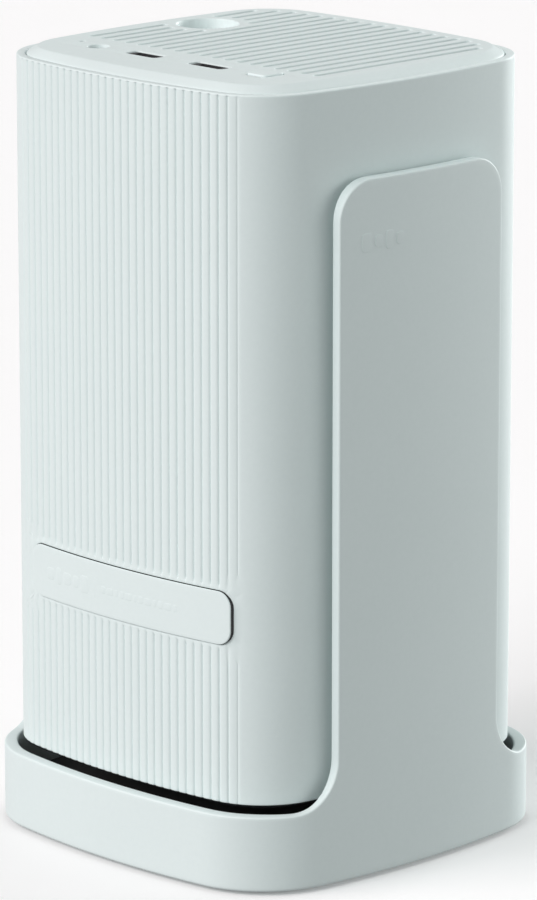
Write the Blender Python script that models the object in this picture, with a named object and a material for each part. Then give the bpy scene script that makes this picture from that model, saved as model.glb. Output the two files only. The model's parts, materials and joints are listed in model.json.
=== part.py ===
"""Portable smart projector that hangs between the two arms of a U-shaped tilting stand.

Frame: +Z up, origin on the ground at the middle of the stand. -Y is the fluted front with the badge,
and the tilt axis runs along X through the tops of both arms. At rest the projector is stowed upright,
with its lens facing down into the stand's tray and its sockets and exhaust grille on top.
Sizes are in metres, written as millimetres times MM.
"""

import math

import bmesh
import bpy
from mathutils import Matrix, Vector

MM = 0.001
GAP = 0.3 * MM  # clearance between pieces that touch

# Projector body: a square tower with bulging sides and round corners
BODY_HALF = 53.85 * MM
BODY_CORNER = 20 * MM
BODY_BULGE = 240 * MM
BODY_BOTTOM = 22.7 * MM
BODY_TOP = 207 * MM
BODY_WALL = 2.3 * MM

# Stand: a shell that follows the body, cut down to a tray between two arms
STAND_HALF = 59.05 * MM
STAND_CORNER = 25.5 * MM
STAND_BULGE = 240 * MM
STAND_WALL = 3.6 * MM
STAND_BOTTOM = 1.0 * MM
RIM_Z = 21 * MM
ARM_TOP = 184.3 * MM
ARM_HALF_WIDTH = 29.5 * MM
ARM_CORNER = 10.5 * MM
ARM_ROOT_FILLET = 13.2 * MM
ARM_CLEARANCE = (54.45 * MM, 134.8 * MM)  # half-width and radius of the space the body swings through

# Tilt axis: centred in the round end of the arms
PIVOT = Vector((0, 0, 156 * MM))

# Base stack, from the ground up
FOOT_TOP = 1.4 * MM
COVER_BOTTOM, COVER_TOP = 1.7 * MM, 3.4 * MM
BALLAST_BOTTOM, BALLAST_TOP = 3.7 * MM, 6.9 * MM
FLOOR_BOTTOM, FLOOR_TOP = 7.2 * MM, 8.6 * MM
MAT_BOTTOM, MAT_TOP = 8.9 * MM, 9.9 * MM
BALLAST_HALF = 31 * MM
BASE_SCREW_AT = 37 * MM
TRIPOD_HOLE_R = 3.175 * MM  # quarter-inch thread
INSERT_R, INSERT_BOTTOM = 5 * MM, 1.5 * MM
SCREW_HOLE_R, SCREW_HEAD_R, SCREW_BOSS_R = 1.7 * MM, 3.2 * MM, 4 * MM
FOOT_INSET, FOOT_WIDTH = 4.2 * MM, 6.3 * MM

# Rear cap, the top face at rest
CAP_FLAT_Z = 208.86 * MM
CAP_EDGE_Z = 206.9 * MM
CAP_SKIRT_Z = 200 * MM
CAP_PLATE_BOTTOM = 206.0 * MM
FLAT_HALF, FLAT_CORNER, FLAT_BULGE = 47.3 * MM, 15 * MM, 335 * MM
GRILLE_SLOTS = 19
GRILLE_PITCH = 4.655 * MM
GRILLE_SLOT_WIDTH = 1.9 * MM
GRILLE_FRONT_Y = -23.4 * MM
GRILLE_MARGIN = 2.6 * MM
WELL_AT = Vector((-35.4 * MM, 13 * MM, 0))
WELL_R = 8.3 * MM
WELL_FLOOR_Z = 198 * MM
USB_AT = Vector((-11.1 * MM, -32 * MM, 0))
USB_CUT = (11.6 * MM, 4.8 * MM)
HDMI_AT = Vector((12.4 * MM, -31.7 * MM, 0))
HDMI_CUT = (12.6 * MM, 4.6 * MM)
AUDIO_AT = Vector((-28.7 * MM, -32.4 * MM, 0))
SOCKET_TOP, SOCKET_BOTTOM = 208.5 * MM, 193 * MM
SOCKET_MOUTH = (7.6 * MM, 3.2 * MM)
AUDIO_R = 3.0 * MM
AUDIO_TOP = 206.4 * MM
POWER_SOCKET_R, POWER_SOCKET_TOP = 3.9 * MM, 198.2 * MM
STATUS_AT = Vector((-37.6 * MM, -29.8 * MM, 0))
BUTTON_AT = Vector((31.4 * MM, -30.5 * MM, 0))
BUTTON_SIDE = 7.0 * MM
BUTTON_PROUD = 0.45 * MM
BUTTON_TRAVEL = 0.4 * MM

# Fluted front
FLUTES = 31
FLUTE_PITCH = 2.75 * MM
FLUTE_WIDTH = 1.5 * MM
FLUTE_DEPTH = 0.45 * MM

# Badge on the front, and the grille insert on the back
BADGE_AT = (2.6 * MM, 71.8 * MM)
BADGE_SIZE = (74.2 * MM, 14.0 * MM)
BADGE_CORNER = 4 * MM
BADGE_PROUD = 0.5 * MM
BADGE_FRAME = 0.5 * MM
BADGE_PAD = 1.9 * MM
BADGE_THICK = 0.5 * MM
INTAKE_AT = 76 * MM
INTAKE_SIZE = (54 * MM, 56 * MM)
INTAKE_CORNER = 7 * MM
INTAKE_SLOTS = 11
INTAKE_PITCH = 4.4 * MM

# Lens end, at the bottom at rest
BEZEL_BOTTOM = 21.2 * MM
BEZEL_TOP = 30 * MM
PANEL_HALF, PANEL_CORNER, PANEL_BULGE = 47.5 * MM, 14.5 * MM, 182 * MM
PANEL_BOTTOM, PANEL_TOP = 21.7 * MM, 24.1 * MM
SHROUD_R = 23.2 * MM
SENSOR_AT = Vector((31 * MM, -31 * MM, 0))
SENSOR_R = 4 * MM
BARREL_R = 20 * MM
BARREL_BOTTOM, BARREL_TOP = 33 * MM, 66 * MM
EAR_BOTTOM, EAR_TOP = 44 * MM, 48 * MM
ROD_X = 30 * MM
ROD_R = 1.5 * MM
ROD_TOP = 62 * MM
ACTUATOR_BOTTOM, ACTUATOR_TOP = 55 * MM, 69.6 * MM
ACTUATOR_BORE_TOP = 66 * MM

# Light engine and cooling
ENGINE_BOTTOM, ENGINE_TOP = 70 * MM, 128 * MM
ENGINE_LOW = Vector((-40 * MM, -30 * MM, ENGINE_BOTTOM))
ENGINE_HIGH = Vector((40 * MM, 34 * MM, ENGINE_TOP))
ENGINE_WALL = 2.5 * MM
SINK_BASE_BOTTOM, SINK_BASE_TOP, SINK_FIN_TOP = 131.8 * MM, 135.8 * MM, 170 * MM
FAN_AT = Vector((0, 9 * MM, 0))
FAN_SIDE = 76 * MM
FAN_BOTTOM, FAN_TOP = 176 * MM, 190 * MM
FAN_R = 34.6 * MM
BOARD_BACK, BOARD_FRONT = -36.9 * MM, -35.3 * MM

# Hinge hardware, measured outwards from the middle along X
PIN_FLANGE = (55.65 * MM, 57.35 * MM)
PIN_FLANGE_R = 12 * MM
PIN_R = 5 * MM
PIN_END = 40 * MM
ARM_SEAT = 57.65 * MM
BUSH_R = 8.2 * MM
BUSH_SPAN = (49.5 * MM, 55.0 * MM)
NUT_R, NUT_SPAN = 8 * MM, (41 * MM, 44 * MM)
WASHER_R, WASHER_SPAN = 7.4 * MM, (44.3 * MM, 46.2 * MM)
BRACKET_HALF_WIDTH = 15 * MM
BRACKET_LOW, BRACKET_HIGH = 132 * MM, 172 * MM
BRACKET_SPAN, BRACKET_FOOT_SPAN = (46.5 * MM, 48.5 * MM), (36 * MM, 47.5 * MM)
BRACKET_THICK = 2 * MM

COLOURS = {  # name: (colour, roughness, metallic)
    "white_plastic": ((0.80, 0.83, 0.83), 0.55, 0.0),
    "cap_plastic": ((0.80, 0.83, 0.83), 0.5, 0.0),
    "black_plastic": ((0.02, 0.02, 0.022), 0.5, 0.0),
    "black_gloss": ((0.01, 0.01, 0.012), 0.08, 0.0),
    "rubber": ((0.05, 0.05, 0.05), 0.8, 0.0),
    "steel": ((0.55, 0.56, 0.58), 0.35, 1.0),
    "brass": ((0.78, 0.6, 0.3), 0.3, 1.0),
    "aluminium": ((0.75, 0.76, 0.78), 0.35, 1.0),
    "circuit_board": ((0.03, 0.18, 0.1), 0.5, 0.0),
    "glass": ((0.75, 0.85, 0.9), 0.03, 0.0),
}


# ---------------------------------------------------------------- outlines

def rounded_square(half, corner, bulge, side_steps=8, corner_steps=8):
    """Square outline whose sides are arcs of radius bulge, met by tangent corner arcs of radius corner.

    half is the distance from the middle to each side's middle. Points run anticlockwise.
    """
    back = bulge - half
    reach = (bulge - corner) ** 2
    centre = (-2 * back + math.sqrt(4 * back ** 2 - 8 * (back ** 2 - reach))) / 4
    turn = math.atan2(centre, centre + back)
    quarter = []
    for i in range(side_steps):
        angle = turn * (2 * i / side_steps - 1)
        quarter.append((bulge * math.cos(angle) - back, bulge * math.sin(angle)))
    for i in range(corner_steps):
        angle = turn + (math.pi / 2 - 2 * turn) * i / corner_steps
        quarter.append((centre + corner * math.cos(angle), centre + corner * math.sin(angle)))
    outline = []
    for _ in range(4):
        outline += quarter
        quarter = [(-y, x) for x, y in quarter]
    return outline


def body_outline(inset=0.0, **steps):
    return rounded_square(BODY_HALF - inset, BODY_CORNER - inset, BODY_BULGE - inset, **steps)


def stand_outline(inset=0.0, **steps):
    return rounded_square(STAND_HALF - inset, STAND_CORNER - inset, STAND_BULGE - inset, **steps)


def rounded_rectangle(width, height, corner, steps=4):
    """Rectangle outline about the origin with round corners."""
    outline = []
    for index, (sx, sy) in enumerate(((1, 1), (-1, 1), (-1, -1), (1, -1))):
        for i in range(steps + 1):
            angle = math.pi / 2 * (index + i / steps)
            outline.append((sx * (width / 2 - corner) + corner * math.cos(angle),
                            sy * (height / 2 - corner) + corner * math.sin(angle)))
    return outline


def circle(radius, steps=24):
    return [(radius * math.cos(2 * math.pi * i / steps), radius * math.sin(2 * math.pi * i / steps))
            for i in range(steps)]


def arc(centre, radius, start, end, steps=6):
    """Points on an arc in a plane, with its angles in degrees."""
    angles = [math.radians(start + (end - start) * i / steps) for i in range(steps + 1)]
    return [(centre[0] + radius * math.cos(a), centre[1] + radius * math.sin(a)) for a in angles]


# ---------------------------------------------------------------- making solids

def clear_scene():
    for obj in list(bpy.data.objects):
        bpy.data.objects.remove(obj)


def material(name):
    found = bpy.data.materials.get(name)
    if found:
        return found
    colour, roughness, metallic = COLOURS[name]
    made = bpy.data.materials.new(name)
    made.use_nodes = True
    shader = made.node_tree.nodes["Principled BSDF"]
    shader.inputs["Base Color"].default_value = (*colour, 1)
    shader.inputs["Roughness"].default_value = roughness
    shader.inputs["Metallic"].default_value = metallic
    return made


def empty(name, at, parent=None):
    made = bpy.data.objects.new(name, None)
    bpy.context.scene.collection.objects.link(made)
    made.parent = parent
    made.location = Vector(at) - (parent.matrix_world.translation if parent else Vector())
    bpy.context.view_layer.update()
    return made


def loft(rings, name="shape"):
    """Closed mesh through rings of equally many points, each a list of (x, y, z), capped at both ends."""
    mesh = bpy.data.meshes.new(name)
    shape = bmesh.new()
    rows = [[shape.verts.new(point) for point in ring] for ring in rings]
    count = len(rows[0])
    for low, high in zip(rows, rows[1:]):
        for i in range(count):
            shape.faces.new((low[i], low[(i + 1) % count], high[(i + 1) % count], high[i]))
    shape.faces.new(list(reversed(rows[0])))
    shape.faces.new(rows[-1])
    bmesh.ops.recalc_face_normals(shape, faces=shape.faces)
    shape.to_mesh(mesh)
    shape.free()
    return mesh


def prism(outline, low, high, at=(0, 0)):
    """Outline in XY, moved to at, standing from low to high along Z."""
    return loft([[(x + at[0], y + at[1], z) for x, y in outline] for z in (low, high)])


def prism_x(outline, low, high):
    """Outline in YZ, run from low to high along X."""
    return loft([[(x, y, z) for y, z in outline] for x in (low, high)])


def block(low, high):
    corners = [(low[0], low[1]), (high[0], low[1]), (high[0], high[1]), (low[0], high[1])]
    return prism(corners, low[2], high[2])


def turned(profile, at=(0, 0), steps=24):
    """Solid of revolution about a vertical axis at at, from (radius, z) points, bottom to top."""
    return loft([[(x + at[0], y + at[1], z) for x, y in circle(radius, steps)] for radius, z in profile])


def turned_x(profile, side, steps=24):
    """Solid of revolution about the tilt axis, from (radius, x) points, on the side +1 or -1."""
    return loft([[(side * x, y + PIVOT.y, z + PIVOT.z) for y, z in circle(radius, steps)]
                 for radius, x in profile])


def node(name, mesh, slot, parent=None, origin=(0, 0, 0)):
    """Object for one sub-part. Its mesh is given in place, and its own origin is moved to origin."""
    mesh.transform(Matrix.Translation(-Vector(origin)))
    mesh.name = name
    mesh.materials.append(material(slot))
    obj = bpy.data.objects.new(name, mesh)
    bpy.context.scene.collection.objects.link(obj)
    obj.parent = parent
    obj.location = Vector(origin) - (parent.matrix_world.translation if parent else Vector())
    mesh.shade_smooth()
    mesh.set_sharp_from_angle(angle=math.radians(30))
    return obj


def combine(obj, mesh, operation):
    """Boolean of obj with a hidden helper made from mesh, which is given in place."""
    helper = bpy.data.objects.new(obj.name + "_helper", mesh)
    bpy.context.scene.collection.objects.link(helper)
    helper.hide_render = True
    helper.display_type = "WIRE"
    modifier = obj.modifiers.new(operation.lower(), "BOOLEAN")
    modifier.operation = operation
    modifier.object = helper
    modifier.solver = "EXACT"


def cut(obj, *meshes):
    for mesh in meshes:
        combine(obj, mesh, "DIFFERENCE")


def add(obj, *meshes):
    for mesh in meshes:
        combine(obj, mesh, "UNION")


# ---------------------------------------------------------------- stand

def arm_window(sign):
    """What is cut away in front of (sign -1) or behind (+1) the arms, as a YZ outline along X."""
    beyond, above = 75 * MM, 200 * MM
    root = (ARM_HALF_WIDTH + ARM_ROOT_FILLET, RIM_Z + ARM_ROOT_FILLET)
    tip = (ARM_HALF_WIDTH - ARM_CORNER, ARM_TOP - ARM_CORNER)
    outline = [(beyond, RIM_Z)]
    outline += arc(root, ARM_ROOT_FILLET, -90, -180, 8)
    outline += arc(tip, ARM_CORNER, 0, 90, 8)
    outline += [(tip[0], above), (beyond, above)]
    return prism_x([(sign * y, z) for y, z in outline], -beyond, beyond)


def make_stand_shell():
    """Tray wall, tray floor and both arms in one moulding."""
    shell = node("stand_shell", prism(stand_outline(), STAND_BOTTOM, ARM_TOP), "white_plastic")
    inner = stand_outline(STAND_WALL)
    cut(shell, prism(inner, FLOOR_TOP, ARM_TOP + MM), prism(inner, 0, FLOOR_BOTTOM))
    cut(shell, arm_window(-1), arm_window(1))
    half, reach = ARM_CLEARANCE
    cut(shell, turned_x([(reach, -half), (reach, half)], 1, 96))
    for side in (-1, 1):
        cut(shell, turned_x([(PIN_FLANGE_R + 2 * GAP, 50 * MM), (PIN_FLANGE_R + 2 * GAP, ARM_SEAT)], side))
    for x, y in screw_places():
        add(shell, prism(circle(SCREW_BOSS_R, 12), COVER_TOP + GAP, FLOOR_BOTTOM + 0.5 * MM, (x, y)))
        cut(shell, prism(circle(SCREW_HOLE_R, 12), 0, FLOOR_BOTTOM + 0.2 * MM, (x, y)))


def screw_places():
    return [(sx * BASE_SCREW_AT, sy * BASE_SCREW_AT) for sx in (-1, 1) for sy in (-1, 1)]


def make_base():
    """Cover, ballast, foot ring, tray mat, tripod insert and the cover's screws."""
    cover = node("base_cover", prism(stand_outline(STAND_WALL + GAP), COVER_BOTTOM, COVER_TOP), "white_plastic")
    insert_hole = INSERT_R + 0.4 * MM
    cut(cover, prism(circle(insert_hole), 0, FLOOR_TOP))
    for at in screw_places():
        cut(cover, prism(circle(SCREW_HEAD_R, 16), 0, COVER_TOP - 0.8 * MM, at))
        cut(cover, prism(circle(SCREW_HOLE_R, 12), 0, FLOOR_TOP, at))
    ballast = node("ballast_plate", prism(rounded_rectangle(2 * BALLAST_HALF, 2 * BALLAST_HALF, 6 * MM),
                                          BALLAST_BOTTOM, BALLAST_TOP), "steel")
    cut(ballast, prism(circle(insert_hole), 0, FLOOR_TOP))
    foot = node("foot_ring", prism(stand_outline(FOOT_INSET), 0, FOOT_TOP), "rubber")
    cut(foot, prism(stand_outline(FOOT_INSET + FOOT_WIDTH), -MM, FOOT_TOP + MM))
    node("tray_mat", prism(stand_outline(STAND_WALL + GAP), MAT_BOTTOM, MAT_TOP), "rubber")
    insert = node("tripod_insert", prism(circle(INSERT_R), INSERT_BOTTOM, BALLAST_TOP), "brass")
    cut(insert, prism(circle(TRIPOD_HOLE_R), 0, FLOOR_TOP))
    for index, at in enumerate(screw_places(), 1):
        profile = [(2.9 * MM, 1.8 * MM), (2.9 * MM, 2.3 * MM), (1.4 * MM, 2.3 * MM), (1.4 * MM, 6.6 * MM)]
        node(f"base_screw_{index}", turned(profile, at, 12), "steel")


def make_hinge(side, name, body):
    """One side's flanged pin, nut and spring washer in the stand, and the bracket and bush in the body."""
    pin = [(PIN_FLANGE_R, PIN_FLANGE[1]), (PIN_FLANGE_R, PIN_FLANGE[0]), (PIN_R, PIN_FLANGE[0]), (PIN_R, PIN_END)]
    node(f"hinge_pin_{name}", turned_x(pin, side), "steel", origin=PIVOT)
    nut = node(f"hinge_nut_{name}", turned_x([(NUT_R, x) for x in NUT_SPAN], side, 6), "steel")
    washer = node(f"spring_washer_{name}", turned_x([(WASHER_R, x) for x in WASHER_SPAN], side), "steel")
    half = BRACKET_HALF_WIDTH
    plate = [(-half, BRACKET_LOW), (half, BRACKET_LOW), (half, BRACKET_HIGH), (-half, BRACKET_HIGH)]
    bracket = node(f"hinge_bracket_{name}", prism_x(plate, *(side * x for x in BRACKET_SPAN)), "steel", body)
    top = BRACKET_LOW + BRACKET_THICK
    foot = [(-half, BRACKET_LOW), (half, BRACKET_LOW), (half, top), (-half, top)]
    add(bracket, prism_x(foot, *(side * x for x in BRACKET_FOOT_SPAN)))
    bush = node(f"pivot_bush_{name}", turned_x([(BUSH_R, x) for x in BUSH_SPAN], side), "black_plastic", body)
    for ring in (nut, washer, bracket, bush):
        cut(ring, turned_x([(PIN_R + GAP, 30 * MM), (PIN_R + GAP, 60 * MM)], side))


# ---------------------------------------------------------------- projector casing

def fluted_outline():
    """Body outline with the front side's shallow flutes let into it, from left to right.

    The flutes are spaced by arc length along the front, from the middle outwards.
    """
    plain = body_outline(side_steps=12, corner_steps=10)
    edge = (FLUTES / 2) * FLUTE_PITCH
    replaced = [i for i, (x, y) in enumerate(plain) if y < 0 and abs(x) < front_point(edge)[0]]
    flutes = []
    for index in range(FLUTES):
        middle = (index - (FLUTES - 1) / 2) * FLUTE_PITCH
        half = FLUTE_WIDTH / 2
        for along, depth in ((-half, 0), (-half / 2, FLUTE_DEPTH), (half / 2, FLUTE_DEPTH), (half, 0)):
            x, y = front_point(middle + along)
            flutes.append((x, y + depth))
    return plain[:replaced[0]] + flutes + plain[replaced[-1] + 1:]


def front_point(along):
    """Point on the front side at arc length along from its middle, past the side's arc onto the corner's."""
    back = BODY_BULGE - BODY_HALF
    reach = (BODY_BULGE - BODY_CORNER) ** 2
    centre = (-2 * back + math.sqrt(4 * back ** 2 - 8 * (back ** 2 - reach))) / 4
    turn = math.atan2(centre, centre + back)
    size, sign = abs(along), math.copysign(1, along)
    if size <= turn * BODY_BULGE:
        angle = size / BODY_BULGE
        return sign * BODY_BULGE * math.sin(angle), back - BODY_BULGE * math.cos(angle)
    angle = turn + (size - turn * BODY_BULGE) / BODY_CORNER
    return sign * (centre + BODY_CORNER * math.sin(angle)), -centre - BODY_CORNER * math.cos(angle)


def front_slab(width, height, corner, inner, outer, at=BADGE_AT, sign=-1):
    """Round-cornered slab on the front (sign -1) or back (+1) face, between two depths along its bulge.

    inner and outer are measured outwards from the body's surface. It is lofted from left to right.
    """
    back = BODY_BULGE - BODY_HALF
    ends = [(width / 2 - corner + dx, height / 2 - corner + dz) for dx, dz in arc((0, 0), corner, 0, 90, 4)]
    middles = max(1, round((width - 2 * corner) / (7 * MM)))
    flats = [((width / 2 - corner) * (1 - 2 * i / middles), height / 2) for i in range(1, middles)]
    right = ends + flats
    stations = right + [(-x, z) for x, z in reversed(ends)]
    rings = []
    for x, half in stations:
        depths = [sign * (math.sqrt((BODY_BULGE + proud) ** 2 - (x + at[0]) ** 2) - back)
                  for proud in (inner, outer)]
        rings.append([(x + at[0], y, z + at[1]) for y, z in
                      ((depths[0], -half), (depths[1], -half), (depths[1], half), (depths[0], half))])
    return loft(rings)


def make_sleeve(body):
    """One-piece outer sleeve: fluted front, and openings for the badge, the grille and the hinge pins."""
    sleeve = node("body_sleeve", prism(fluted_outline(), BODY_BOTTOM, BODY_TOP), "white_plastic", body)
    width, height = BADGE_SIZE
    pad = 2 * (BADGE_FRAME + BADGE_PAD)
    add(sleeve, front_slab(width + pad, height + pad, BADGE_CORNER + pad / 2, -1.5 * MM, 0))
    cut(sleeve, prism(body_outline(BODY_WALL), 0, 250 * MM))
    seat = 2 * (BADGE_FRAME + GAP)
    cut(sleeve, front_slab(width + seat, height + seat, BADGE_CORNER + seat / 2, -1.1 * MM, 8 * MM))
    cut(sleeve, front_slab(INTAKE_SIZE[0] + 2 * GAP, INTAKE_SIZE[1] + 2 * GAP, INTAKE_CORNER + GAP,
                           -8 * MM, 8 * MM, (0, INTAKE_AT), 1))
    for side in (-1, 1):
        cut(sleeve, turned_x([(BUSH_R + GAP, 45 * MM), (BUSH_R + GAP, 65 * MM)], side))


def make_badge(body):
    """Blank badge plate in a thin dark frame."""
    width, height = BADGE_SIZE
    rim = 2 * BADGE_FRAME
    frame = node("badge_frame", front_slab(width + rim, height + rim, BADGE_CORNER + rim / 2,
                                           -0.8 * MM, BADGE_PROUD - 0.15 * MM), "black_plastic", body)
    cut(frame, front_slab(width, height, BADGE_CORNER, -GAP, 5 * MM))
    inset = 2 * GAP
    node("badge_plate", front_slab(width - inset, height - inset, BADGE_CORNER - inset / 2,
                                   BADGE_PROUD - BADGE_THICK, BADGE_PROUD), "white_plastic", body)


def make_intake(body):
    """Slotted insert in the back for the intake and the speaker behind it."""
    grille = node("intake_grille", front_slab(*INTAKE_SIZE, INTAKE_CORNER, -BODY_WALL, 0, (0, INTAKE_AT), 1),
                  "white_plastic", body)
    for index in range(INTAKE_SLOTS):
        x = (index - (INTAKE_SLOTS - 1) / 2) * INTAKE_PITCH
        half = INTAKE_SIZE[1] / 2 - 5 * MM - (2.5 * MM if index in (0, INTAKE_SLOTS - 1) else 0)
        slot = [(x + dx, INTAKE_AT + dz) for dx, dz in rounded_rectangle(2 * MM, 2 * half, 0.95 * MM, 2)]
        cut(grille, loft([[(px, y, pz) for px, pz in slot] for y in (40 * MM, 70 * MM)]))


def flat_depth(x):
    """How far the rear cap's flat face reaches in Y at x."""
    outline = rounded_square(FLAT_HALF, FLAT_CORNER, FLAT_BULGE, 16, 16)
    upper = sorted(point for point in outline if point[1] > 0)
    for (x0, y0), (x1, y1) in zip(upper, upper[1:]):
        if x0 <= x <= x1:
            return y0 + (y1 - y0) * (x - x0) / (x1 - x0)
    return 0.0


def grille_slots():
    """(x, front y, back y) of each slot in the rear cap. Those that meet the socket's well go round it."""
    slots = []
    for index in range(GRILLE_SLOTS):
        x = (index - (GRILLE_SLOTS - 1) / 2) * GRILLE_PITCH
        reach = flat_depth(abs(x) + GRILLE_SLOT_WIDTH / 2) - GRILLE_MARGIN
        clear = WELL_R + 2.6 * MM
        off = abs(x - WELL_AT.x)
        if off < clear - 1.2 * MM:
            chord = math.sqrt(clear ** 2 - off ** 2)
            slots += [(x, GRILLE_FRONT_Y, WELL_AT.y - chord), (x, WELL_AT.y + chord, reach)]
        else:
            slots.append((x, GRILLE_FRONT_Y, reach))
    return slots


def make_rear_cap(body):
    """Bevelled cap with the exhaust grille, the socket openings and the power socket's well."""
    flat = rounded_square(FLAT_HALF, FLAT_CORNER, FLAT_BULGE)
    edge = body_outline(BODY_WALL + GAP)
    rings = [[(x, y, z) for x, y in outline]
             for outline, z in ((edge, CAP_SKIRT_Z), (edge, CAP_EDGE_Z), (flat, CAP_FLAT_Z))]
    cap = node("rear_cap", loft(rings), "cap_plastic", body)
    cut(cap, prism(body_outline(BODY_WALL + GAP + 1.8 * MM), CAP_SKIRT_Z - MM, CAP_PLATE_BOTTOM))
    well = (WELL_AT.x, WELL_AT.y)
    add(cap, prism(circle(WELL_R + 1.4 * MM), WELL_FLOOR_Z - 1.6 * MM, CAP_PLATE_BOTTOM + MM, well))
    above, below = CAP_FLAT_Z + MM, CAP_PLATE_BOTTOM - MM
    cut(cap, prism(circle(WELL_R), WELL_FLOOR_Z, above, well))
    cut(cap, prism(circle(POWER_SOCKET_R + 0.4 * MM, 16), SOCKET_BOTTOM, above, well))
    for x, front, back in grille_slots():
        outline = rounded_rectangle(GRILLE_SLOT_WIDTH, back - front, GRILLE_SLOT_WIDTH / 2 * 0.98, 3)
        cut(cap, prism(outline, below, above, (x, (front + back) / 2)))
    cut(cap, prism(rounded_rectangle(*USB_CUT, 1.2 * MM), below, above, USB_AT))
    cut(cap, prism(rounded_rectangle(*HDMI_CUT, 1.2 * MM), below, above, HDMI_AT))
    cut(cap, prism(circle(AUDIO_R, 20), below, above, AUDIO_AT))
    cut(cap, prism(circle(0.9 * MM, 10), below, above, STATUS_AT))
    hole = BUTTON_SIDE + 2 * GAP
    cut(cap, prism(rounded_rectangle(hole, hole, 1.3 * MM), below, above, BUTTON_AT))


def make_lens_end(body):
    """Black bezel, gloss front panel, lens shroud and sensor window."""
    outline = body_outline(BODY_WALL + GAP)
    bezel = node("lens_bezel", prism(outline, BEZEL_BOTTOM, BEZEL_TOP), "black_plastic", body)
    ledge = 1.5 * MM
    inner = rounded_square(PANEL_HALF - ledge, PANEL_CORNER - ledge, PANEL_BULGE)
    seat = rounded_square(PANEL_HALF + GAP, PANEL_CORNER + GAP, PANEL_BULGE)
    cut(bezel, prism(inner, 0, BEZEL_TOP + MM), prism(seat, 0, PANEL_TOP + GAP))
    panel = node("front_panel", prism(rounded_square(PANEL_HALF, PANEL_CORNER, PANEL_BULGE), PANEL_BOTTOM,
                                      PANEL_TOP), "black_gloss", body)
    cut(panel, prism(circle(SHROUD_R + GAP, 32), 0, BEZEL_TOP))
    cut(panel, prism(circle(SENSOR_R + GAP, 16), 0, BEZEL_TOP, SENSOR_AT))
    shroud = node("lens_shroud", prism(circle(SHROUD_R, 32), 22.0 * MM, 31 * MM), "black_plastic", body)
    cut(shroud, turned([(22.3 * MM, 21.9 * MM), (19 * MM, 31.1 * MM)], steps=32))
    node("sensor_window", prism(circle(SENSOR_R, 16), 21.9 * MM, 26 * MM, SENSOR_AT), "black_gloss", body)


# ---------------------------------------------------------------- inside the projector

def make_focus(body):
    """Lens barrel and its glass, which a voice-coil actuator slides along a guide rod to focus."""
    axis = empty("focus_axis", (0, 0, BARREL_BOTTOM), body)
    tube = prism(circle(BARREL_R, 32), BARREL_BOTTOM, BARREL_TOP)
    barrel = node("lens_barrel", tube, "black_plastic", axis)
    for side in (-1, 1):
        add(barrel, block((min(side * 18, side * 34) * MM, -3.5 * MM, EAR_BOTTOM),
                          (max(side * 18, side * 34) * MM, 3.5 * MM, EAR_TOP)))
    cut(barrel, prism(circle(17 * MM, 32), 0, 80 * MM))
    for side in (-1, 1):
        cut(barrel, prism(circle(ROD_R + GAP, 12), 40 * MM, 50 * MM, (side * ROD_X, 0)))
    dome = [(0.5, 35.2), (6, 35.5), (11, 36.3), (16.7, 38.2), (16.7, 41)]
    node("lens_front_glass", turned([(r * MM, z * MM) for r, z in dome], steps=32), "glass", axis)
    rear = [(16.7, 58), (16.7, 60), (11, 61.8), (5, 62.6), (0.5, 62.8)]
    node("lens_rear_glass", turned([(r * MM, z * MM) for r, z in rear], steps=32), "glass", axis)
    node("focus_rod", prism(circle(ROD_R, 12), EAR_BOTTOM + GAP, ROD_TOP, (ROD_X, 0)), "steel", axis)
    actuator = node("focus_actuator", prism(circle(6 * MM), ACTUATOR_BOTTOM, ACTUATOR_TOP, (ROD_X, 0)),
                    "steel", body)
    cut(actuator, prism(circle(ROD_R + GAP, 12), 40 * MM, ACTUATOR_BORE_TOP, (ROD_X, 0)))
    node("guide_rod", prism(circle(ROD_R, 12), 36 * MM, ACTUATOR_TOP, (-ROD_X, 0)), "steel", body)


def make_engine(body):
    """Light engine: a box with a nose around the lens barrel, and the panel and condenser inside it."""
    engine = node("engine_housing", block(ENGINE_LOW, ENGINE_HIGH), "black_plastic", body)
    add(engine, prism(circle(22.8 * MM, 32), 52 * MM, ENGINE_BOTTOM + MM))
    wall = Vector((ENGINE_WALL,) * 3)
    cut(engine, block(ENGINE_LOW + wall, ENGINE_HIGH - wall))
    cut(engine, prism(circle(BARREL_R + 0.5 * MM, 32), 40 * MM, 75 * MM))
    cut(engine, prism(circle(11 * MM), 120 * MM, 130 * MM))
    node("lcd_panel", block((-34 * MM, -22 * MM, 84 * MM), (34 * MM, 22 * MM, 86 * MM)), "glass", body)
    condenser = [(24, 104), (24, 106), (16, 109.5), (8, 111.2), (1, 112)]
    node("condenser_lens", turned([(r * MM, z * MM) for r, z in condenser]), "glass", body)
    side = 14 * MM
    led = node("led_module", block((-side, -side, ENGINE_TOP + GAP), (side, side, SINK_BASE_BOTTOM - GAP)),
               "aluminium", body)
    add(led, prism(circle(8 * MM, 16), 126.6 * MM, 129 * MM))


def make_heat_sink(body):
    """Base plate with upright fins, in the fan's air stream."""
    half, fins, thick = 32 * MM, 13, 1.3 * MM
    pitch = (2 * half - thick) / (fins - 1)
    outline = [(-half, SINK_BASE_BOTTOM), (half, SINK_BASE_BOTTOM)]
    for index in range(fins):
        x = half - index * pitch
        outline += [(x, SINK_FIN_TOP), (x - thick, SINK_FIN_TOP)]
        if index < fins - 1:
            outline += [(x - thick, SINK_BASE_TOP), (x - pitch, SINK_BASE_TOP)]
    mesh = loft([[(x, y, z) for x, z in outline] for y in (-28 * MM, 34 * MM)])
    node("heat_sink", mesh, "aluminium", body)


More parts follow.
